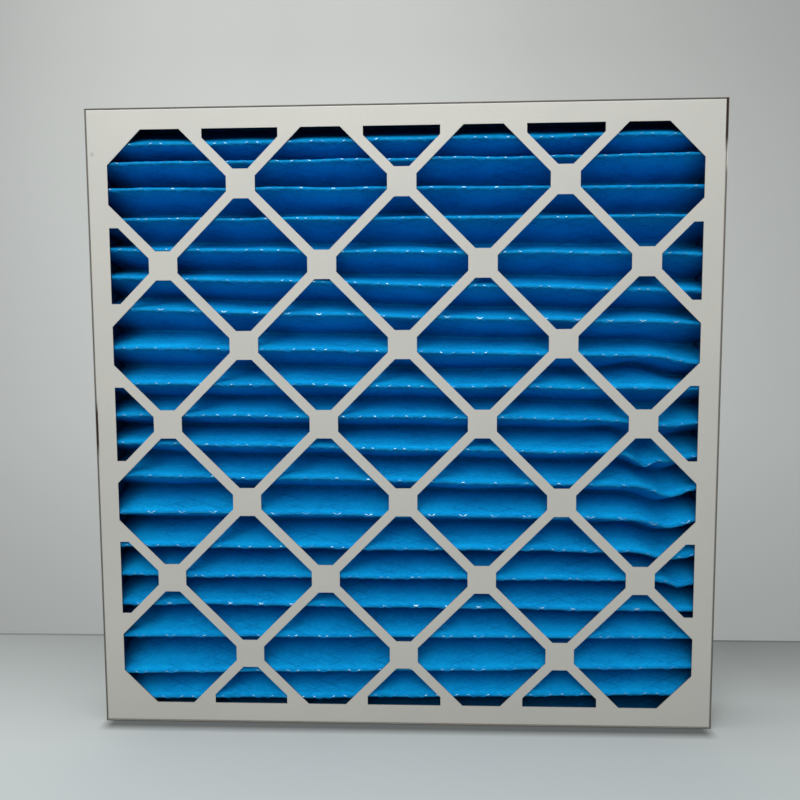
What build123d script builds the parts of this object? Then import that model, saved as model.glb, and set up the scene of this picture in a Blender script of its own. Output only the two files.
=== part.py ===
from build123d import *
import math
import os

# Pleated panel air filter, nominal 20 x 20 x 2 in.
# +Z is up, the air-leaving face looks along -Y, and the origin lies under the
# middle of the bottom edge. All sizes are in millimetres.

# Outside of the filter
face_width = 495.0
face_height = 495.0
filter_depth = 45.0

# Frame board: two die-cut trays, the front one nested in the rear one
board = 0.7                # thickness of the board
fold_radius = 1.2          # outside radius of a scored fold
lap_gap = 0.1              # glue line between the flanges of the two trays
seam_gap = 0.15            # slit where two flanges meet at a corner
seat_gap = 0.3             # room at each end of what stands between the panels
tab_length = 32.0          # glued tab at each end of the front tray's end flanges
tab_taper = 10.0           # cut-back corners of a tab

# Die-cut lattice, the same in both panels
margin = 16.5              # plain border round the lattice
lattice_pitch = 125.85     # from one node to the next along a row
strip = 7.7                # width of a diagonal strip
node_pad = 22.7            # width and height of the octagon where strips cross
edge_window = 59.5         # length of the cut-off windows along the border
smallest_window = 200.0    # a window with less area than this stays board, mm2

# Filter sheet and the expanded metal bonded to its front
sheet = 1.6                # thickness of the filter sheet
wire = 0.3                 # thickness of the expanded metal
crest_bend = 0.4           # inside radius of a front crest
valley_bend = 0.5          # inside radius of a valley, at the metal
bend_flats = 3             # short flats that a fold of the thin metal breaks into
flap_length = 30.0         # end of the sheet that lies along the frame
# Gaps from the frame to the first crest, from crest to crest and back to the
# frame, top to bottom, as the pack was spread by hand; they share out the height
crest_gaps = [25, 15, 22, 23, 26, 25, 25, 28, 27, 25, 25, 26, 28, 27, 24, 24, 25, 28, 22, 22]

# Openings of the expanded metal, drawn coarse: one row to a flank
openings_across = 3
strand = 1.6               # width of metal between openings
opening_point = 9.0        # length of the pointed end of an opening

# Hardened adhesive that seals the pack into the frame
side_seal = 2.0            # thickness at the ends of the pleats
end_seal = 0.8             # thickness between an end flap and the frame
end_seal_depth = 26.0


# Sizes that follow from the above
front = -filter_depth / 2
inner_width = face_width - 2 * (board + lap_gap)
inner_height = face_height - 2 * (board + lap_gap)
inner_depth = filter_depth - board - seat_gap
room_width = inner_width - 2 * board
room_height = inner_height - 2 * board
room_top = face_height / 2 + room_height / 2
room_bottom = face_height / 2 - room_height / 2
middle = face_height / 2


def rounded_block(width, depth, height, radius):
    """Block from y = 0 backwards, its four front edges rounded as the board folds."""
    block = Box(width, depth, height, align=(Align.CENTER, Align.MIN, Align.CENTER))
    return fillet(block.faces().sort_by(Axis.Y)[0].edges(), radius)


def lattice_windows(width, height):
    """Die-cut windows of one panel, drawn flat about the middle of the panel."""
    open_width = width - 2 * margin
    open_height = height - 2 * margin
    opening = Rectangle(open_width, open_height)
    across_flats = lattice_pitch / math.sqrt(2) - strip
    clip = lattice_pitch - node_pad
    diamond = Rot(0, 0, 45) * Rectangle(across_flats, across_flats)
    cell = diamond & Rectangle(clip, clip)
    half_pitch = lattice_pitch / 2
    columns = math.ceil(width / lattice_pitch) + 1
    rows = math.ceil(height / lattice_pitch) + 1
    windows = []
    for column in range(-columns, columns + 1):
        for row in range(-rows, rows + 1):
            x = column * half_pitch
            z = row * half_pitch
            past_side = abs(x) > open_width / 2
            past_end = abs(z) > open_height / 2
            if (column + row) % 2 or (past_side and past_end):
                continue
            if abs(x) - half_pitch > open_width / 2 or abs(z) - half_pitch > open_height / 2:
                continue
            outline = cell
            if past_side:
                outline = cell & Rectangle(lattice_pitch, edge_window)
            if past_end:
                outline = cell & Rectangle(edge_window, lattice_pitch)
            window = (Pos(x, z) * outline) & opening
            if window is not None and window.area > smallest_window:
                windows.append(window.face())
    return windows


def corner_tab(width, height, depth):
    """Tab at the upper right corner: folded down from the end flange, inside the side flange."""
    place = Pos(width / 2 - board - seam_gap, fold_radius, height / 2)
    corner = (Align.MAX, Align.MIN, Align.MAX)
    outside = Box(2 * fold_radius, depth - fold_radius, tab_length, align=corner)
    outside = fillet(outside.edges().filter_by(Axis.Y).sort_by(Axis.Z)[-2:].sort_by(Axis.X)[-1], fold_radius)
    inside = Box(2 * fold_radius, depth - fold_radius, tab_length, align=corner)
    inside = fillet(
        inside.edges().filter_by(Axis.Y).sort_by(Axis.Z)[-2:].sort_by(Axis.X)[-1], fold_radius - board)
    tab = outside - Pos(-board, 0, -board) * inside
    free_corners = tab.edges().filter_by(Axis.X).group_by(Axis.Z)[0]
    return place * chamfer(free_corners, tab_taper)


def window_cutters():
    """Prisms of all the lattice windows, through a panel that starts at y = 0."""
    windows = lattice_windows(face_width, face_height)
    return Compound([extrude(Plane.XZ * window, amount=-2 * board) for window in windows])


def folded_tray(width, height, depth, tabs):
    """Panel with four flanges folded back; side flanges cover the ends of the end flanges."""
    tray = rounded_block(width, depth, height, fold_radius)
    tray -= Pos(0, board, 0) * rounded_block(
        width - 2 * board, depth, height - 2 * board, fold_radius - board)
    seam_width = seam_gap + fold_radius if tabs else seam_gap
    seam = Pos(width / 2 - board, fold_radius, height / 2 + board) * Box(
        seam_width, depth, 3 * board, align=(Align.MAX, Align.MIN, Align.MAX))
    corner_cuts = [seam, Rot(0, 180, 0) * seam]
    corner_cuts += [mirror(cut, about=Plane.YZ) for cut in corner_cuts]
    tray -= Compound(corner_cuts)
    if tabs:
        tab = corner_tab(width, height, depth)
        corner_tabs = [tab, Rot(0, 180, 0) * tab]
        corner_tabs += [mirror(piece, about=Plane.YZ) for piece in corner_tabs]
        for piece in corner_tabs:
            tray += piece
    return tray - Pos(0, -board / 2, 0) * window_cutters()


def fold_centres():
    """Centres of the folds from top to bottom: valley, crest, valley and so on."""
    crest_y = front + board + seat_gap + wire + sheet + crest_bend
    valley_y = -front - board - seat_gap - sheet - wire - valley_bend
    end_offset = end_seal + sheet + wire + valley_bend
    scale = room_height / sum(crest_gaps)
    crests = []
    z = room_top
    for gap in crest_gaps[:-1]:
        z -= gap * scale
        crests.append(z)
    valleys = [(a + b) / 2 for a, b in zip(crests, crests[1:])]
    valleys = [room_top - end_offset] + valleys + [room_bottom + end_offset]
    centres = []
    for valley, crest in zip(valleys, crests):
        centres.append((Vector(0, valley_y, valley), False))
        centres.append((Vector(0, crest_y, crest), True))
    centres.append((Vector(0, valley_y, valleys[-1]), False))
    return centres


def fold_radius_at(is_crest, lift):
    """Radius round a fold, for a surface that lies lift in front of the sheet's back face."""
    if is_crest:
        return crest_bend + lift
    return valley_bend + wire + sheet - lift


def flank_ends(upper, lower, lift):
    """Ends of the straight run that leaves one fold underneath and reaches the next on top."""
    radius_upper = fold_radius_at(upper[1], lift)
    radius_lower = fold_radius_at(lower[1], lift)
    run = lower[0] - upper[0]
    along = run.normalized()
    down = Vector(0, along.Z, -along.Y) * (1 if along.Y > 0 else -1)
    share = (radius_upper + radius_lower) / run.length
    normal = along * share + down * math.sqrt(1 - share * share)
    return upper[0] + normal * radius_upper, lower[0] - normal * radius_lower


def fold_corners(centre, is_crest, arrival, departure):
    """Corners of a fold that breaks into flats, just outside a crest or just inside a valley."""
    side = -1 if is_crest else 1
    start = math.atan2(arrival.Z - centre.Z, side * (arrival.Y - centre.Y))
    end = math.atan2(departure.Z - centre.Z, side * (departure.Y - centre.Y))
    radius = (arrival - centre).length
    if is_crest:
        step = (end - start) / (bend_flats + 1)
        turns = [start + (index + 0.5) * step for index in range(bend_flats + 1)]
        radius /= math.cos(step / 2)
    else:
        step = (end - start) / bend_flats
        turns = [start + index * step for index in range(bend_flats + 1)]
    return [centre + Vector(0, side * radius * math.cos(turn), radius * math.sin(turn)) for turn in turns]


def fold_line(lift, in_flats):
    """Edges of one surface of a pleated layer, from the top flap to the bottom flap."""
    centres = fold_centres()
    flanks = [flank_ends(a, b, lift) for a, b in zip(centres, centres[1:])]
    end_radius = fold_radius_at(False, lift)
    first = centres[0][0] + Vector(0, 0, end_radius)
    last = centres[-1][0] - Vector(0, 0, end_radius)
    start = first - Vector(0, flap_length, 0)
    end = last - Vector(0, flap_length, 0)
    arrivals = [first] + [flank[1] for flank in flanks]
    departures = [flank[0] for flank in flanks] + [last]
    folds = list(zip(centres, arrivals, departures))
    if in_flats:
        corners = [start]
        for (centre, is_crest), arrival, departure in folds:
            corners += fold_corners(centre, is_crest, arrival, departure)
        corners.append(end)
        edges = [Line(a, b) for a, b in zip(corners, corners[1:])]
        return edges, start, end
    edges = [Line(start, first), Line(last, end)]
    edges += [Line(leave, arrive) for leave, arrive in flanks]
    for (centre, is_crest), arrival, departure in folds:
        reach = fold_radius_at(is_crest, lift) * (-1 if is_crest else 1)
        edges.append(ThreePointArc(arrival, centre + Vector(0, reach, 0), departure))
    return edges, start, end


def pleated_layer(back, thickness, width, in_flats):
    """Folded layer whose back surface lies back in front of the sheet's back face."""
    near, near_start, near_end = fold_line(back, in_flats)
    far, far_start, far_end = fold_line(back + thickness, in_flats)
    outline = Wire(near + far + [Line(near_start, far_start), Line(near_end, far_end)])
    return extrude(Face(outline), amount=width / 2, dir=(1, 0, 0), both=True)


def metal_openings(width):
    """Prisms that open the expanded metal: one row of long pointed holes to a flank."""
    centres = fold_centres()
    pitch = width / openings_across
    half_length = (pitch - strand) / 2
    prisms = []
    for upper, lower in zip(centres, centres[1:]):
        leave, arrive = flank_ends(upper, lower, sheet + wire)
        half_height = (leave.Z - arrive.Z) / 2 - strand / 4
        outline = Polyline(
            (half_length, 0), (half_length - opening_point, half_height),
            (opening_point - half_length, half_height), (-half_length, 0),
            (opening_point - half_length, -half_height), (half_length - opening_point, -half_height),
            close=True)
        hole = make_face(outline)
        for index in range(openings_across):
            x = (index + 0.5) * pitch - width / 2
            place = Pos(x, 0, (leave.Z + arrive.Z) / 2)
            prisms.append(place * extrude(Plane.XZ * hole, amount=filter_depth, both=True))
    return Compound(prisms)


def side_seal_strip():
    """Adhesive at the right-hand ends of the pleats, notched round the frame's corner tabs."""
    seal_depth = inner_depth - 2 * fold_radius
    seal = Pos(room_width / 2, front + fold_radius, middle) * Box(
        side_seal, seal_depth, inner_height - 2 * fold_radius, align=(Align.MAX, Align.MIN, Align.CENTER))
    notch_depth = board + seam_gap + lap_gap
    notch_height = tab_length - board + lap_gap
    for z, side in ((room_top, Align.MAX), (room_bottom, Align.MIN)):
        seal -= Pos(room_width / 2, front, z) * Box(
            notch_depth, filter_depth, notch_height, align=(Align.MAX, Align.MIN, side))
    return seal


def end_seal_strip(z, side):
    """Adhesive between an end flap of the sheet and the frame."""
    valley_y = fold_centres()[0][0].Y
    length = pack_width
    return Pos(0, valley_y, z) * Box(length, end_seal_depth, end_seal, align=(Align.CENTER, Align.MAX, side))


pack_width = room_width - 2 * side_seal

inner_tray = folded_tray(inner_width, inner_height, inner_depth, tabs=True)
front_frame = Pos(0, front, middle) * inner_tray

outer_tray = folded_tray(face_width, face_height, filter_depth, tabs=False)
rear_frame = Pos(0, -front, middle) * Rot(0, 0, 180) * outer_tray

pleated_media = pleated_layer(0, sheet, pack_width, in_flats=False)
wire_backing = pleated_layer(sheet, wire, pack_width, in_flats=True) - metal_openings(pack_width)

right_seal = side_seal_strip()
left_seal = mirror(right_seal, about=Plane.YZ)
top_seal = end_seal_strip(room_top, Align.MAX)
bottom_seal = end_seal_strip(room_bottom, Align.MIN)

nodes = {
    "front_frame": front_frame,
    "rear_frame": rear_frame,
    "pleated_media": pleated_media,
    "wire_backing": wire_backing,
    "left_seal": left_seal,
    "right_seal": right_seal,
    "top_seal": top_seal,
    "bottom_seal": bottom_seal,
}

os.makedirs("parts", exist_ok=True)
for name, solid in nodes.items():
    export_step(solid, f"parts/{name}.step")
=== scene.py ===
import bpy
import math
import numpy as np
from mathutils import Matrix, Vector, noise


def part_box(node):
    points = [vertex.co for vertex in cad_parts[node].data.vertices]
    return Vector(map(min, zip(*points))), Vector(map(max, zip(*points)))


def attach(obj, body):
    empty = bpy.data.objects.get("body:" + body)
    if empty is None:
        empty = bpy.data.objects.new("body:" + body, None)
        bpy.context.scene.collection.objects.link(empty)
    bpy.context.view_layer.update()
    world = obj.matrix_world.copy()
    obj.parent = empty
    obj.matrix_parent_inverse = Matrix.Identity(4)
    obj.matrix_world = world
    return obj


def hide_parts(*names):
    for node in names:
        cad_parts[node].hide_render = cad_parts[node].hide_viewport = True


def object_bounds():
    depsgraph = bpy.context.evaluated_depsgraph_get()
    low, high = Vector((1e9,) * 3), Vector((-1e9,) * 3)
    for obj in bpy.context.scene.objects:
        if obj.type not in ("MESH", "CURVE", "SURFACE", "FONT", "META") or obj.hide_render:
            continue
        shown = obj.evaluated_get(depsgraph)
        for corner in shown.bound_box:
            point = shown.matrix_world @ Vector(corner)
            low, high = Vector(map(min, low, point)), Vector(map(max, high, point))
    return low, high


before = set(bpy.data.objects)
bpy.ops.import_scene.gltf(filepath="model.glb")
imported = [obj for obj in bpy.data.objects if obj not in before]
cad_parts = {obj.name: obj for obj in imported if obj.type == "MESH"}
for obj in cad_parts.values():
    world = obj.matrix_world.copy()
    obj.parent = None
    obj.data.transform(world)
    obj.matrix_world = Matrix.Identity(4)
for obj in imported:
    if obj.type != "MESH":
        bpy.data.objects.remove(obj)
cad_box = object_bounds()
bpy.ops.object.select_all(action="DESELECT")


# ---------------------------------------------------------------- the board trays
# Two trays die-cut from moisture-resistant paperboard, scored and folded: a white
# coated face outside, plain grey-brown board inside and at every cut edge. The front
# tray is nested and glued into the rear one, whose flanges end flush with the face.

coated_white = (0.600, 0.593, 0.542, 1.0)
coated_grey = (0.566, 0.562, 0.518, 1.0)
fibre_grey = (0.490, 0.485, 0.450, 1.0)
uncoated_side = (0.400, 0.370, 0.320, 1.0)
cut_edge = (0.105, 0.103, 0.095, 1.0)
# Painted shade inside an opened glue line, over the brown of the board in it
open_gap_shade = (0.060, 0.038, 0.028, 1.0)
handling_mark = (0.300, 0.290, 0.270, 1.0)
board_roughness = 0.62
board_clouds = 14.0             # spots to a metre
board_fibres = 1400.0
board_relief = 0.00006
cloud_height = 4.0              # of the clouds in the relief, where the fibres are 1
plain_border = 0.008            # no window comes this near the outline
rim_thickness = 0.0001          # of what counts as the rim, at the end of the flanges
square_on = 0.9                 # least share of Y in the normal of a face that looks forward or back
side_on = 0.5                   # most share of Y in the normal of a face that looks across
# Where the glue line has sprung open, and where the rim is pressed in out of sight: stretches
# of the side edges, as x side, low z and high z, and how far they fade out at their ends
sprung_edges = [(-1, 0.232, 0.256), (1, 0.466, 0.500)]
sprung_fade = 0.012
pressed_edge = (1, 0.447, 0.464)
pressed_fade = 0.008
gap_depth = 0.0012              # how far back from the face an opened glue line shows
gap_inset = 0.0013              # and how far in from the side
mark_x, mark_z = -0.2425, 0.460
mark_radius = 0.0022
mark_core = 0.3 * mark_radius
mark_strength = 0.45


def painted(name, roughness):
    """New material: its node tree, its shader and the coordinates that patterns can follow."""
    material = bpy.data.materials.new(name)
    material.use_nodes = True
    tree = material.node_tree
    shader = tree.nodes["Principled BSDF"]
    shader.inputs["Roughness"].default_value = roughness
    return material, tree, shader, tree.nodes.new("ShaderNodeTexCoord").outputs


def feed(tree, slot, value):
    """Links a socket to a node's input, or sets the input to a number or a colour."""
    if isinstance(value, bpy.types.NodeSocket):
        tree.links.new(value, slot)
    else:
        slot.default_value = value


def in_parts(tree, vector):
    """X, Y and Z of a vector."""
    split = tree.nodes.new("ShaderNodeSeparateXYZ")
    tree.links.new(vector, split.inputs[0])
    return split.outputs


def reckon(tree, operation, *values):
    """One Math node on sockets or numbers."""
    step = tree.nodes.new("ShaderNodeMath")
    step.operation = operation
    for slot, value in zip(step.inputs, values):
        feed(tree, slot, value)
    return step.outputs[0]


def reckon_vector(tree, operation, first, second):
    """One Vector Math node: its vector and its number."""
    step = tree.nodes.new("ShaderNodeVectorMath")
    step.operation = operation
    feed(tree, step.inputs[0], first)
    feed(tree, step.inputs[1], second)
    return step.outputs


def mottle(tree, source, spots, detail=2.0):
    """Noise of that many spots to a metre."""
    pattern = tree.nodes.new("ShaderNodeTexNoise")
    pattern.inputs["Scale"].default_value = spots
    pattern.inputs["Detail"].default_value = detail
    tree.links.new(source, pattern.inputs["Vector"])
    return pattern.outputs["Fac"]


def ramp(tree, value, low, high, to_low=0.0, to_high=1.0):
    """Map Range from low..high to to_low..to_high, clamped."""
    step = tree.nodes.new("ShaderNodeMapRange")
    step.inputs["From Min"].default_value = low
    step.inputs["From Max"].default_value = high
    step.inputs["To Min"].default_value = to_low
    step.inputs["To Max"].default_value = to_high
    tree.links.new(value, step.inputs["Value"])
    return step.outputs["Result"]


def blend_colour(tree, mask, first, second):
    """The first colour where the mask is 0, the second where it is 1."""
    step = tree.nodes.new("ShaderNodeMix")
    step.data_type = "RGBA"
    for slot, value in zip((step.inputs[0], step.inputs[6], step.inputs[7]), (mask, first, second)):
        feed(tree, slot, value)
    return step.outputs[2]


def relief(tree, shader, height, distance):
    """Bump of that height in metres."""
    bump = tree.nodes.new("ShaderNodeBump")
    bump.inputs["Distance"].default_value = distance
    tree.links.new(height, bump.inputs["Height"])
    tree.links.new(bump.outputs["Normal"], shader.inputs["Normal"])


def along_edge(tree, spot, stretch, fade):
    """1 beside a stretch of the left or right edge, fading out at its ends."""
    side, low_z, high_z = stretch
    starts = ramp(tree, spot["Z"], low_z - fade, low_z)
    stops = ramp(tree, spot["Z"], high_z, high_z + fade, to_low=1.0, to_high=0.0)
    on_side = reckon(tree, "GREATER_THAN", reckon(tree, "MULTIPLY", spot["X"], side), 0.0)
    return reckon(tree, "MULTIPLY", reckon(tree, "MULTIPLY", starts, stops), on_side)


def board_material(tray):
    """Coated paperboard: mottled white outside, plain board inside, darker cut edges."""
    material, tree, shader, place = painted("board_" + tray, board_roughness)
    low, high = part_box(tray)
    middle = (low + high) / 2
    point = place["Object"]
    spot = in_parts(tree, point)
    facing = tree.nodes.new("ShaderNodeNewGeometry").outputs["True Normal"]
    off_face = reckon(tree, "ABSOLUTE", in_parts(tree, facing)["Y"])

    cloud = mottle(tree, point, board_clouds, detail=3.0)
    fibre = mottle(tree, point, board_fibres)
    colour = blend_colour(tree, ramp(tree, cloud, 0.3, 0.7), coated_white, coated_grey)
    colour = blend_colour(tree, ramp(tree, fibre, 0.35, 0.75, to_high=0.25), colour, fibre_grey)

    # A face that looks towards the middle of its tray is uncoated
    from_middle = reckon_vector(tree, "SUBTRACT", point, middle)["Vector"]
    outwards = reckon_vector(tree, "DOT_PRODUCT", facing, from_middle)["Value"]
    inside = reckon(tree, "LESS_THAN", outwards, 0.0)
    colour = blend_colour(tree, inside, colour, uncoated_side)

    # Cut edges: the walls of the windows, and the rim that the flanges end in
    across_board = reckon(tree, "LESS_THAN", off_face, side_on)
    aside = reckon(tree, "ABSOLUTE", spot["X"])
    rise = reckon(tree, "ABSOLUTE", reckon(tree, "SUBTRACT", spot["Z"], middle.z))
    reach = reckon(tree, "MAXIMUM", aside, rise)
    in_lattice = reckon(tree, "LESS_THAN", reach, high.x - plain_border)
    window_edge = reckon(tree, "MULTIPLY", across_board, in_lattice)
    colour = blend_colour(tree, window_edge, colour, cut_edge)
    rim_y = high.y if tray == "front_frame" else low.y
    from_rim = reckon(tree, "ABSOLUTE", reckon(tree, "SUBTRACT", spot["Y"], rim_y))
    at_rim = reckon(tree, "LESS_THAN", from_rim, rim_thickness)
    rim = reckon(tree, "MULTIPLY", at_rim, reckon(tree, "GREATER_THAN", off_face, square_on))
    pressed_in = along_edge(tree, spot, pressed_edge, pressed_fade)
    colour = blend_colour(tree, rim, colour, blend_colour(tree, pressed_in, cut_edge, coated_white))

    # The opened glue lines, painted as the shade inside the gap over the brown board, and a small mark
    # from handling
    by_face = reckon(tree, "LESS_THAN", spot["Y"], cad_box[0][1] + gap_depth)
    for stretch in sprung_edges:
        towards_side = reckon(tree, "MULTIPLY", spot["X"], stretch[0])
        beside = reckon(tree, "GREATER_THAN", towards_side, high.x - gap_inset)
        beside = reckon(tree, "MULTIPLY", beside, by_face)
        opened_shade = reckon(tree, "MULTIPLY", along_edge(tree, spot, stretch, sprung_fade), beside)
        colour = blend_colour(tree, opened_shade, colour, open_gap_shade)
    from_mark = reckon_vector(tree, "DISTANCE", point, (mark_x, low.y, mark_z))["Value"]
    smudge = ramp(tree, from_mark, mark_core, mark_radius, to_low=mark_strength, to_high=0.0)
    colour = blend_colour(tree, smudge, colour, handling_mark)
    tree.links.new(colour, shader.inputs["Base Color"])

    height = reckon(tree, "ADD", fibre, reckon(tree, "MULTIPLY", cloud, cloud_height))
    relief(tree, shader, height, board_relief)
    return material


for tray in ("front_frame", "rear_frame"):
    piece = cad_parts[tray]
    piece.data.materials.clear()
    piece.data.materials.append(board_material(tray))


# ---------------------------------------------------------------- the filter sheet
# One lofted polyester and cotton sheet, dyed blue, pleated by hand over the depth of
# the frame. Its two ends lie along the top and the bottom of the frame, and its folds
# run slightly uneven, with a crushed patch near the right-hand side.

sheet = 0.0011                  # thickness
metal = 0.0003                  # thickness of the expanded metal on its front
crest_bend = 0.0003             # inside radius of a crest
valley_bend = 0.0005            # inside radius of a valley
flap_length = 0.030
mm = 0.001
# From the top of the frame's room to the first crest, from crest to crest, and to the bottom, in mm
crest_gaps = [25, 15, 22, 23, 26, 25, 25, 28, 27, 25, 25, 26, 28, 27, 24, 24, 25, 28, 22, 22]
# How far each crest drops from left to right, top to bottom, in mm
crest_drops = [-2, -1, 4, 2, 8, 15, 15, 9, 6, 5, 10, 9, 5, 4, 2, 3, -3, -10, -10]
# Dents of the crushed patch: which crest, its x, depth, half width and push back, in mm
dents = [(8, 231, 5, 24, 2), (10, 202, 4, 32, 2), (11, 190, 7, 12, 4), (11, 194, 3, 5, 1),
         (11, 213, 6, 14, 4), (12, 198, 2, 12, 1), (12, 213, 8.5, 13, 5), (13, 198, 2.5, 12, 1),
         (13, 214, 7, 13, 4), (14, 212, 6, 18, 3), (15, 221, 5, 9, 3)]
# Where the valley above a crest is pushed up: the crest, its x, height and half width, in mm
lifted_valleys = [(9, 189, 6, 22), (11, 176, 3, 18), (12, 186, 3, 18), (14, 190, 3, 16)]
# Ripples along a fold: its first row in the noise, and the ripple's length and reach
crest_wander = (0, 0.045, 0.0012)
crest_sink = (40, 0.060, 0.0010)
valley_wander = (80, 0.050, 0.0015)
valley_sink = (120, 0.050, 0.0020)
flank_bow = (160, 0.060, 0.0016)
noise_row = 7.3                 # from one fold's row to the next
noise_layer = 1.7

pack_low, pack_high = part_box("pleated_media")
pack_width = pack_high.x - pack_low.x
crest_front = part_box("wire_backing")[0].y + metal + sheet + crest_bend
valley_radius = sheet + metal + valley_bend
valley_back = pack_high.y - valley_radius
first_valley_z = pack_high.z - valley_radius
last_valley_z = pack_low.z + valley_radius
crests_top = (pack_high.z + pack_low.z) / 2 + mm * sum(crest_gaps) / 2
crushed_from = 0.150            # x beyond which the columns stand closer, for the crushed patch
wide_columns, close_columns = 76, 36
column_x = np.concatenate([
    np.linspace(pack_low.x, crushed_from, wide_columns, endpoint=False),
    np.linspace(crushed_from, pack_high.x, close_columns + 1)])
column_count = len(column_x) - 1


def ripple(number, kind):
    """Soft unevenness along x, its own for each fold."""
    first_row, length, reach = kind
    row = (number + first_row) * noise_row
    return reach * np.array([noise.noise(Vector((x / length, row, noise_layer))) for x in column_x])


def bell(x, half):
    """Bump of height 1 at x that dies away over its half width, both in mm."""
    return np.exp(-((column_x * 1000 - x) / half) ** 2)


def level_line(value):
    """A fold that runs straight across the pack."""
    return np.full(column_count + 1, value)


crest_rows = []
crest_depths = []
for number, height in enumerate(crests_top - mm * np.cumsum(crest_gaps[:-1])):
    drop = -mm * crest_drops[number] * column_x / pack_width
    line = height + drop + ripple(number, crest_wander)
    depth = crest_front + np.abs(ripple(number, crest_sink))
    for crest, x, deep, half, push in dents:
        if crest == number + 1:
            line = line - mm * deep * bell(x, half)
            depth = depth + mm * push * bell(x, half)
    crest_rows.append(line)
    crest_depths.append(depth)

valley_rows = [level_line(first_valley_z)]
valley_depths = [level_line(valley_back)]
for number, (upper, lower) in enumerate(zip(crest_rows, crest_rows[1:])):
    line = (upper + lower) / 2 + ripple(number, valley_wander)
    for crest, x, rise, half in lifted_valleys:
        if crest == number + 2:
            line = line + mm * rise * bell(x, half)
    valley_rows.append(line)
    valley_depths.append(valley_back - np.abs(ripple(number, valley_sink)))
valley_rows.append(level_line(last_valley_z))
valley_depths.append(level_line(valley_back))

fold_count = len(crest_rows) + len(valley_rows)
last_fold = fold_count - 1
is_crest = np.arange(fold_count) % 2 == 1
fold_z = np.zeros((fold_count, column_count + 1))
fold_y = np.zeros((fold_count, column_count + 1))
fold_z[0::2], fold_z[1::2] = valley_rows, crest_rows
fold_y[0::2], fold_y[1::2] = valley_depths, crest_depths
bow = np.array([ripple(number, flank_bow) for number in range(fold_count)])


def across(table, fold, x):
    """Value of a table of folds by columns, at any x."""
    left = np.clip(np.searchsorted(column_x, x, side="right") - 1, 0, column_count - 1)
    share = (x - column_x[left]) / (column_x[left + 1] - column_x[left])
    return table[fold, left] * (1 - share) + table[fold, left + 1] * share


def fold_radius(fold, lift):
    """Radius of a fold, for the surface that lies lift in front of the sheet's back."""
    return np.where(is_crest[fold], crest_bend + lift, valley_radius - lift)


def flank_ends(upper, x, lift):
    """Where the straight flank below a fold leaves it, where it meets the next, and its normal."""
    lower = upper + 1
    start = np.stack([across(fold_y, upper, x), across(fold_z, upper, x)])
    stop = np.stack([across(fold_y, lower, x), across(fold_z, lower, x)])
    length = np.hypot(*(stop - start))
    along = (stop - start) / length
    down = np.stack([along[1], -along[0]]) * np.where(along[0] > 0, 1.0, -1.0)
    upper_radius = fold_radius(upper, lift)
    lower_radius = fold_radius(lower, lift)
    lean = (upper_radius + lower_radius) / length
    normal = along * lean + down * np.sqrt(1 - lean ** 2)
    return start + normal * upper_radius, stop - normal * lower_radius, normal


def developed_lengths(lift):
    """Lengths along the sheet, from one end, at which flaps, folds and flanks begin."""
    folds = np.arange(fold_count)
    leave, arrive, _ = flank_ends(folds[:-1], np.zeros(last_fold), lift)
    flanks = np.hypot(*(arrive - leave))
    tilt = np.abs(np.arctan2(*(arrive - leave)[::-1]))
    slopes = np.concatenate([[math.pi / 2], np.pi / 2 - np.abs(np.pi / 2 - tilt), [math.pi / 2]])
    lengths = [0.0, flap_length]
    for fold in folds:
        before = math.pi / 2 if fold == 0 else math.pi / 2 - slopes[fold]
        after = math.pi / 2 if fold == last_fold else math.pi / 2 - slopes[fold + 1]
        lengths.append(lengths[-1] + float(fold_radius(fold, lift)) * (before + after))
        lengths.append(lengths[-1] + (flanks[fold] if fold < last_fold else flap_length))
    return np.array(lengths)


metal_lift = sheet + metal / 2
stations = developed_lengths(metal_lift)
sheet_length = stations[-1]
last_stretch = len(stations) - 2


def pleated(x, s, lift):
    """Where a point of the flat sheet, x across it and s along it, lies once it is pleated."""
    stretch = np.clip(np.searchsorted(stations, s, side="right") - 1, 0, last_stretch)
    share = (s - stations[stretch]) / (stations[stretch + 1] - stations[stretch])
    fold = np.clip((stretch - 1) // 2, 0, last_fold)
    side = np.where(is_crest[fold], -1.0, 1.0)
    centre = np.stack([across(fold_y, fold, x), across(fold_z, fold, x)])
    radius = fold_radius(fold, lift)

    def turn_to(point):
        return np.arctan2(point[1] - centre[1], side * (point[0] - centre[0]))

    flank_above = np.maximum(fold, 1) - 1
    flank_below = np.minimum(fold, last_fold - 1)
    _, arrive, _ = flank_ends(flank_above, x, lift)
    leave, reach, normal = flank_ends(flank_below, x, lift)
    start_turn = np.where(fold > 0, turn_to(arrive), math.pi / 2)
    stop_turn = np.where(fold < last_fold, turn_to(leave), -math.pi / 2)
    turn = start_turn + (stop_turn - start_turn) * share
    on_fold = centre + radius * np.stack([side * np.cos(turn), np.sin(turn)])
    sway = across(bow, flank_below, x) * np.sin(np.pi * share)
    on_flank = leave + (reach - leave) * share + normal * sway
    top_flap = centre + np.stack([-flap_length * (1 - share), radius])
    end_flap = centre + np.stack([-flap_length * share, -radius])
    spot = np.where(stretch % 2 == 1, on_fold, on_flank)
    spot = np.where(stretch == 0, top_flap, spot)
    spot = np.where(stretch == last_stretch, end_flap, spot)
    return np.stack([x, spot[0], spot[1]], axis=1)


def rows_along(crest_steps, valley_steps, flank_steps, flap_steps):
    """Rows for a mesh of the sheet: so many to a crest, a valley, a flank and an end flap."""
    rows = [0.0]
    for number, (start, stop) in enumerate(zip(stations, stations[1:])):
        if number in (0, last_stretch):
            steps = flap_steps
        elif number % 2 == 0:
            steps = flank_steps
        else:
            steps = crest_steps if is_crest[(number - 1) // 2] else valley_steps
        rows += list(np.linspace(start, stop, steps + 1)[1:])
    return np.array(rows)


crest_middles = (stations[3:-1:4] + stations[4:-1:4]) / 2
crest_arc = stations[4] - stations[3]
crest_steps = 8
valley_steps = 4
flank_steps = 4
flap_steps = 2


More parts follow.
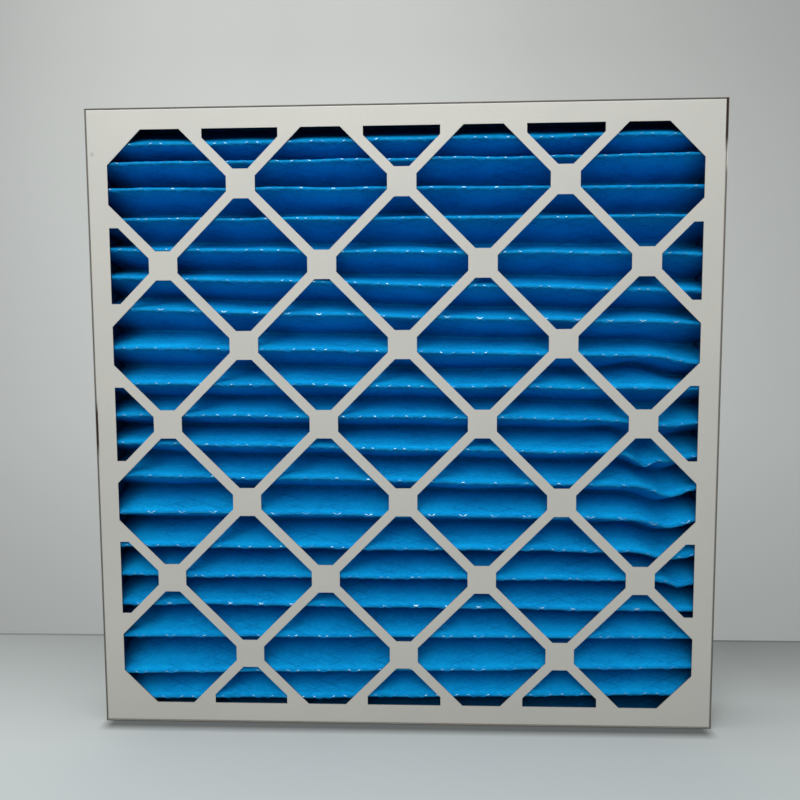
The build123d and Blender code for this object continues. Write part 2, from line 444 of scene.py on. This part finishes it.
def mark_crests(piece, s, raised, crest_shares):
    """Stores each point's distance from the nearest crest, or from just above it, times its share."""
    away = np.abs(s[:, None] - crest_middles[None, :] + raised)
    near = np.min(away, axis=1) * crest_shares[np.argmin(away, axis=1)]
    distance = piece.data.attributes.new("from_crest", "FLOAT", "POINT")
    distance.data.foreach_set("value", near.astype(np.float32))


def flat_grid(name, x, s):
    """Grid of the flat goods, with its UV map in metres across and along them."""
    bpy.ops.object.select_all(action="DESELECT")
    bpy.ops.mesh.primitive_grid_add(x_subdivisions=len(x) - 1, y_subdivisions=len(s) - 1, size=2)
    goods = bpy.context.object
    goods.name = name
    goods.data.name = name
    spots = np.zeros(3 * len(goods.data.vertices))
    goods.data.vertices.foreach_get("co", spots)
    spots = spots.reshape(-1, 3)
    column = np.rint((spots[:, 0] + 1) / 2 * (len(x) - 1)).astype(int)
    row = np.rint((1 - spots[:, 1]) / 2 * (len(s) - 1)).astype(int)
    corner = np.zeros(len(goods.data.loops), int)
    goods.data.loops.foreach_get("vertex_index", corner)
    flat = np.stack([x[column], s[row]], axis=1)
    goods.data.uv_layers[0].data.foreach_set("uv", flat[corner].ravel())
    return goods, flat[:, 0], flat[:, 1]


def fold_goods(goods, x, s, lift):
    """Lays flat goods along the pleats."""
    goods.data.vertices.foreach_set("co", pleated(x, s, lift).ravel())
    goods.data.update()


def thicken(piece, thickness):
    """Gives folded goods their thickness, half to each side, and turns all faces outwards."""
    bpy.ops.object.select_all(action="DESELECT")
    bpy.context.view_layer.objects.active = piece
    piece.select_set(True)
    solid = piece.modifiers.new("thickness", "SOLIDIFY")
    solid.thickness = thickness
    solid.offset = 0.0
    bpy.ops.object.modifier_apply(modifier=solid.name)
    bpy.ops.object.mode_set(mode="EDIT")
    bpy.ops.mesh.select_all(action="SELECT")
    bpy.ops.mesh.normals_make_consistent(inside=False)
    bpy.ops.object.mode_set(mode="OBJECT")


pressed_share = 0.94            # of the sheet's room that its thickness fills
media_rows = rows_along(crest_steps, valley_steps, flank_steps, flap_steps)
media, media_x, media_s = flat_grid("pleated_sheet", column_x, media_rows)
mark_crests(media, media_s, 0.0, np.ones(len(crest_middles)))
fold_goods(media, media_x, media_s, sheet / 2)
thicken(media, sheet * pressed_share)
bpy.ops.object.shade_smooth()

diamond_length = 0.0253
diamond_height = 0.0127
sheet_roughness = 0.92
sheet_specular = 0.05
blue_dye = (0.0015, 0.350, 0.735, 1.0)
blue_deep = (0.0012, 0.285, 0.650, 1.0)
lofted_blue = (0.006, 0.400, 0.840, 1.0)
imprint_blue = (0.0008, 0.070, 0.240, 1.0)
crest_shade_blue = (0.0012, 0.070, 0.250, 1.0)
crest_highlight_blue = (0.060, 0.480, 0.800, 1.0)
edge_shade_blue = (0.0010, 0.075, 0.230, 1.0)
sheet_clouds = 38.0             # spots to a metre
sheet_tufts = 320.0
sheet_fibres = 1900.0
sheet_relief = 0.0004
fibre_height = 0.5              # in the relief, where the tufts are 1
imprint_height = 0.25
imprint_reach = (0.43, 0.49)    # from a diamond's middle, where its strand is at 0.5
imprint_strength = 0.34
# Painted shade over each crest, that tones its highlight down
crest_shade_reach = (0.0010, 0.0034)  # from the middle of a crest
crest_shade_strength = 0.42
# Painted highlight along the middle of each crest
crest_highlight_reach = (0.0002, 0.0008)
crest_highlight_strength = 0.16
# Painted shade where the frame shades the sheet: beside the ends of the pleats, and over the end flaps
# under the top and bottom borders
side_shade_reach = (0.018, 0.002)   # from the ends of the pleats
end_shade_reach = (0.072, 0.058)    # from the ends of the sheet
shade_fray = 0.010
side_shade_strength = 0.50
end_shade_strength = 0.75


def sheet_material():
    """Blue lofted fibres, felted and uneven, pressed in a little under the metal's strands."""
    material, tree, shader, place = painted("blue_fibre", sheet_roughness)
    flat = in_parts(tree, place["UV"])
    crest = tree.nodes.new("ShaderNodeAttribute")
    crest.attribute_name = "from_crest"
    from_crest = crest.outputs["Fac"]
    cloud = mottle(tree, place["Object"], sheet_clouds, detail=3.0)
    tuft = mottle(tree, place["Object"], sheet_tufts, detail=4.0)
    fibre = mottle(tree, place["Object"], sheet_fibres)
    colour = blend_colour(tree, ramp(tree, cloud, 0.35, 0.65), blue_dye, blue_deep)
    colour = blend_colour(tree, ramp(tree, tuft, 0.42, 0.68, to_high=0.60), colour, lofted_blue)

    a = reckon(tree, "DIVIDE", flat["X"], diamond_length)
    b = reckon(tree, "DIVIDE", flat["Y"], diamond_height)
    strands = []
    for operation in ("ADD", "SUBTRACT"):
        phase = reckon(tree, "FRACT", reckon(tree, operation, a, b))
        from_middle = reckon(tree, "ABSOLUTE", reckon(tree, "SUBTRACT", phase, 0.5))
        strands.append(ramp(tree, from_middle, *imprint_reach))
    imprint = reckon(tree, "MAXIMUM", *strands)
    shaded = reckon(tree, "MULTIPLY", imprint, ramp(tree, cloud, 0.42, 0.60, to_high=imprint_strength))
    colour = blend_colour(tree, shaded, colour, imprint_blue)

    # Painted shade over the crests, toning down their highlight
    crest_shade = ramp(tree, from_crest, *crest_shade_reach, to_low=crest_shade_strength, to_high=0.0)
    colour = blend_colour(tree, crest_shade, colour, crest_shade_blue)
    # A thin, fuzzy painted highlight along the middle of each crest
    crest_highlight = ramp(tree, from_crest, *crest_highlight_reach, to_low=crest_highlight_strength, to_high=0.0)
    crest_highlight = reckon(tree, "MULTIPLY", crest_highlight, ramp(tree, tuft, 0.4, 0.6, to_low=0.2))
    colour = blend_colour(tree, crest_highlight, colour, crest_highlight_blue)

    # Painted shade near the ends of the pleats and of the sheet, where the frame shades them
    from_centre = reckon(tree, "MULTIPLY_ADD", tuft, shade_fray, reckon(tree, "ABSOLUTE", flat["X"]))
    starts, full = (pack_high.x - inset for inset in side_shade_reach)
    side_shade = ramp(tree, from_centre, starts, full, to_high=side_shade_strength)
    from_half = reckon(tree, "ABSOLUTE", reckon(tree, "SUBTRACT", flat["Y"], sheet_length / 2))
    starts, full = (sheet_length / 2 - inset for inset in end_shade_reach)
    end_shade = ramp(tree, from_half, starts, full, to_high=end_shade_strength)
    edge_shade = reckon(tree, "MAXIMUM", side_shade, end_shade)
    colour = blend_colour(tree, edge_shade, colour, edge_shade_blue)
    tree.links.new(colour, shader.inputs["Base Color"])

    height = reckon(tree, "ADD", tuft, reckon(tree, "MULTIPLY", fibre, fibre_height))
    height = reckon(tree, "SUBTRACT", height, reckon(tree, "MULTIPLY", imprint, imprint_height))
    relief(tree, shader, height, sheet_relief)
    shader.inputs["Specular IOR Level"].default_value = sheet_specular
    return material


media.data.materials.append(sheet_material())
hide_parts("pleated_media")
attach(media, "root")


# ---------------------------------------------------------------- the expanded metal
# Thin galvanised steel, slit and stretched into long diamonds, bonded to the front of
# the sheet and pleated with it. It shines where it runs over the crests, and on the
# flanks its strands are half sunk in the blue fibres.

strand = 0.0005
strand_across = strand / math.sin(math.atan2(diamond_height, diamond_length))
sunk = 0.00036                  # how deep a strand lies in the fibres, away from a crest
crest_top = 0.3                 # part of a crest's arc, each way from its middle, where it lies on top
overlap = 0.00003               # every other chain of strands lies this much higher
end_room = 0.0005               # beside the outermost chains
side_room = 0.0001              # beside the outermost strand
half_length, half_height = diamond_length / 2, diamond_height / 2
least_row = 0.0003              # a diamond's corner this near a row of the folds gets no row of its own
longest_row = 0.002             # past which the rows of the crushed patch are halved
knuckle_reach = 0.0005          # a diamond's corner this near a crest shines whole, as a small V
knuckle_share = 0.50            # of its distance from the crest that then counts


def halved(rows):
    """Rows with one more in the middle of each long stretch."""
    middles = (rows[1:] + rows[:-1]) / 2
    return np.sort(np.concatenate([rows, middles[np.diff(rows) > longest_row]]))


fold_rows = rows_along(crest_steps, valley_steps=2, flank_steps=1, flap_steps=1)
corner_rows = np.arange(0, sheet_length, half_height)
from_fold_row = np.min(np.abs(corner_rows[:, None] - fold_rows[None, :]), axis=1)
rows = np.sort(np.concatenate([fold_rows, corner_rows[from_fold_row > least_row]]))
patch_rows = halved(halved(rows))
from_knuckle = np.min(np.abs(crest_middles[:, None] - corner_rows[None, :]), axis=1)
crest_shares = np.where(from_knuckle < knuckle_reach, knuckle_share, 1.0)
first_chain = pack_low.x + end_room + strand_across / 2
chains = []
for number in range(int(pack_width / half_length)):
    left = first_chain + number * half_length
    chain_rows = patch_rows if left > crushed_from - diamond_length else rows
    chain, edge, along = flat_grid("metal_chain", np.array([-0.5, 0.5]), chain_rows)
    swing = np.abs((along / half_height + number % 2 + 1) % 2 - 1)
    x = left + swing * half_length + edge * strand_across
    x = np.clip(x, pack_low.x + side_room, pack_high.x - side_room)
    off_crest = np.min(np.abs(along[:, None] - crest_middles[None, :]), axis=1)
    depth = sunk * np.clip(off_crest / crest_arc - crest_top, 0, 1)
    fold_goods(chain, x, along, metal_lift + overlap * (number % 2) - depth)
    mark_crests(chain, along, crest_arc / crest_steps, crest_shares)
    chains.append(chain)

bpy.ops.object.select_all(action="DESELECT")
for chain in chains:
    chain.select_set(True)
bpy.context.view_layer.objects.active = chains[0]
bpy.ops.object.join()
backing = bpy.context.object
backing.name = "expanded_metal"
thicken(backing, metal)

metal_roughness = 0.38
metal_specular = 0.10
bright_zinc = (0.62, 0.85, 0.95, 1.0)
grey_zinc = (0.40, 0.64, 0.78, 1.0)
blue_veil = (0.001, 0.290, 0.700, 1.0)
spangles = 170.0                # to a metre
bare_reach = (0.0001, 0.0005)   # from the middle of a crest


def metal_material():
    """Galvanised steel, bright on the crests and veiled by blue fibres on the flanks."""
    material, tree, shader, place = painted("galvanised_strand", metal_roughness)
    crest = tree.nodes.new("ShaderNodeAttribute")
    crest.attribute_name = "from_crest"
    spangle = mottle(tree, place["Object"], spangles)
    bare = ramp(tree, crest.outputs["Fac"], *bare_reach, to_low=1.0, to_high=0.0)
    shown = reckon(tree, "MULTIPLY", bare, ramp(tree, spangle, 0.40, 0.58, to_low=0.10))
    steel = blend_colour(tree, spangle, bright_zinc, grey_zinc)
    tree.links.new(blend_colour(tree, shown, blue_veil, steel), shader.inputs["Base Color"])
    tree.links.new(shown, shader.inputs["Metallic"])
    shader.inputs["Specular IOR Level"].default_value = metal_specular
    return material


backing.data.materials.clear()
backing.data.materials.append(metal_material())
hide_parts("wire_backing")
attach(backing, "root")


# ---------------------------------------------------------------- the seals
# Beads of adhesive, poured along the ends of the pleats and behind the end flaps, which
# glue the pack into the frame and stop air from passing round it. Their dark blue is
# painted shade, the shade of the pockets beside the frame where they show.

adhesive_shade_blue = (0.012, 0.100, 0.240, 1.0)
adhesive_deep_shade = (0.006, 0.065, 0.165, 1.0)
adhesive_roughness = 0.45
adhesive_lumps = 120.0          # to a metre
adhesive_relief = 0.0008


def adhesive_material():
    """Hardened adhesive, slightly lumpy, in a dark blue of painted shade."""
    material, tree, shader, place = painted("adhesive", adhesive_roughness)
    lumps = mottle(tree, place["Object"], adhesive_lumps, detail=3.0)
    # Painted shade: the dark blue of the pockets beside the frame
    colour = blend_colour(tree, lumps, adhesive_shade_blue, adhesive_deep_shade)
    tree.links.new(colour, shader.inputs["Base Color"])
    relief(tree, shader, lumps, adhesive_relief)
    return material


adhesive = adhesive_material()
for seal in ("left_seal", "right_seal", "top_seal", "bottom_seal"):
    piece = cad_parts[seal]
    piece.data.materials.clear()
    piece.data.materials.append(adhesive)


# ---------------------------------------------------------------- table and wall
# Plain pale table top that the filter stands on, and a pale wall well behind it. The table's paint
# holds painted shade towards the back, at its back edge, on its right and at the filter's foot; the
# wall's paint holds painted light and shade.

stage_roughness = 0.9
table_back = 0.141
table_width, table_length = 5.0, 3.0
table_front_paint = (0.450, 0.482, 0.478, 1.0)
table_back_shade = (0.265, 0.283, 0.275, 1.0)
table_right_shade = (0.120, 0.125, 0.120, 1.0)
table_shade = (0.050, 0.055, 0.055, 1.0)
table_bounce = (0.170, 0.182, 0.178, 1.0)
# Where each shade of the table begins and where it is full
back_shade_y = (-0.060, table_back)
right_shade_x, right_shade_y = (0.24, 0.34), (0.02, 0.13)
right_strength = 0.5
foot_shade_x, foot_shade_y = (0.250, 0.240), (-0.0375, -0.0285)
foot_strength = 0.86
back_line_y = (table_back - 0.0055, table_back - 0.0030)
back_line_strength = 0.45
wall_y, wall_middle_z = 1.5, 0.8
wall_width, wall_height = 8.0, 5.0
wall_low_paint = (0.780, 0.805, 0.780, 1.0)
wall_high_paint = (0.520, 0.530, 0.508, 1.0)
wall_fade_z = (0.1, 1.25)
corner_x = (0.4, 1.2)
corner_strength = 0.45


def stage_paint(name):
    """Matt paint, and the place on the stage that its colour follows."""
    material, tree, shader, place = painted(name, stage_roughness)
    return material, tree, shader, in_parts(tree, place["Object"])


def table_material():
    """Grey-white paint with painted shade, darker towards the back, that throws back less light than it
    shows.
    """
    material, tree, shader, spot = stage_paint("table_top")
    # Painted shade: darker towards the back, where the light falls off
    back_shade = ramp(tree, spot["Y"], *back_shade_y)
    colour = blend_colour(tree, back_shade, table_front_paint, table_back_shade)
    on_right = ramp(tree, spot["X"], *right_shade_x, to_high=right_strength)
    far_right = reckon(tree, "MULTIPLY", on_right, ramp(tree, spot["Y"], *right_shade_y))
    colour = blend_colour(tree, far_right, colour, table_right_shade)
    in_width = ramp(tree, reckon(tree, "ABSOLUTE", spot["X"]), *foot_shade_x)
    near_foot = ramp(tree, spot["Y"], *foot_shade_y, to_high=foot_strength)
    at_foot = reckon(tree, "MULTIPLY", in_width, near_foot)
    colour = blend_colour(tree, at_foot, colour, table_shade)
    at_back = ramp(tree, spot["Y"], *back_line_y, to_high=back_line_strength)
    colour = blend_colour(tree, at_back, colour, table_shade)
    ray = tree.nodes.new("ShaderNodeLightPath").outputs
    seen = reckon(tree, "MAXIMUM", ray["Is Camera Ray"], ray["Is Glossy Ray"])
    colour = blend_colour(tree, seen, table_bounce, colour)
    tree.links.new(colour, shader.inputs["Base Color"])
    return material


def wall_material():
    """Pale paint with painted light and shade: darker towards the top, and less so in the corners."""
    material, tree, shader, spot = stage_paint("wall_paint")
    # Painted light and shade: lighter low down and out in the corners, darker high up
    colour = blend_colour(tree, ramp(tree, spot["Z"], *wall_fade_z), wall_low_paint, wall_high_paint)
    in_corners = ramp(tree, reckon(tree, "ABSOLUTE", spot["X"]), *corner_x, to_high=corner_strength)
    colour = blend_colour(tree, in_corners, colour, wall_low_paint)
    tree.links.new(colour, shader.inputs["Base Color"])
    return material


def stage_panel(name, place, material):
    """Flat panel of the stage, laid where the matrix says."""
    bpy.ops.object.select_all(action="DESELECT")
    bpy.ops.mesh.primitive_plane_add(size=1)
    panel = bpy.context.object
    panel.name = name
    panel.data.transform(place)
    panel.data.materials.append(material)


table_middle = Matrix.Translation((0, table_back - table_length / 2, 0))
table_size = Matrix.Diagonal((table_width, table_length, 1, 1))
stage_panel("table", table_middle @ table_size, table_material())
wall_middle = Matrix.Translation((0, wall_y, wall_middle_z))
wall_size = Matrix.Diagonal((wall_width, wall_height, 1, 1))
stage_panel("wall", wall_middle @ Matrix.Rotation(math.pi / 2, 4, "X") @ wall_size, wall_material())


# ---------------------------------------------------------------- light and camera
# Soft ceiling light from above and in front, with an even pale surround. A lamp behind
# the filter is aimed at the wall, and the camera stands close, a little above the middle.

surround = (0.95, 0.98, 1.0, 1.0)
surround_strength = 0.28
filter_middle = (0.0, 0.0, 0.25)
wall_target = (-0.25, 1.5, 0.3)

world = bpy.data.worlds.new("room")
bpy.context.scene.world = world
world.use_nodes = True
background = world.node_tree.nodes["Background"]
background.inputs["Color"].default_value = surround
background.inputs["Strength"].default_value = surround_strength


def soft_lamp(name, place, size, power, target):
    """Square lamp that faces a point."""
    lamp = bpy.data.lights.new(name, "AREA")
    lamp.shape = "SQUARE"
    lamp.size = size
    lamp.energy = power
    holder = bpy.data.objects.new(name, lamp)
    bpy.context.scene.collection.objects.link(holder)
    holder.location = place
    holder.rotation_mode = "QUATERNION"
    holder.rotation_quaternion = (Vector(target) - holder.location).to_track_quat("-Z", "Y")


soft_lamp("front_lamp", place=(-0.12, -0.92, 0.88), size=0.75, power=7.5, target=filter_middle)
soft_lamp("ceiling_lamp", place=(0.0, -0.45, 1.80), size=1.6, power=11.0, target=filter_middle)
soft_lamp("wall_lamp", place=(-0.32, 0.20, 1.50), size=1.4, power=16.5, target=wall_target)

camera_place = Vector((0.01481, -0.52745, 0.30174))
camera_right = Vector((0.99944, 0.03311, -0.00477)).normalized()
camera_up = Vector((0.00247, 0.06921, 0.99760)).normalized()
camera_back = camera_right.cross(camera_up).normalized()
camera_turn = Matrix((camera_right, camera_up, camera_back)).transposed()

camera_data = bpy.data.cameras.new("camera")
camera_data.sensor_width = 36.0
camera_data.lens = 28.8
camera_data.clip_start = 0.01
camera = bpy.data.objects.new("camera", camera_data)
bpy.context.scene.collection.objects.link(camera)
camera.matrix_world = Matrix.Translation(camera_place) @ camera_turn.to_4x4()
bpy.context.scene.camera = camera
bpy.context.scene.view_settings.view_transform = "Standard"
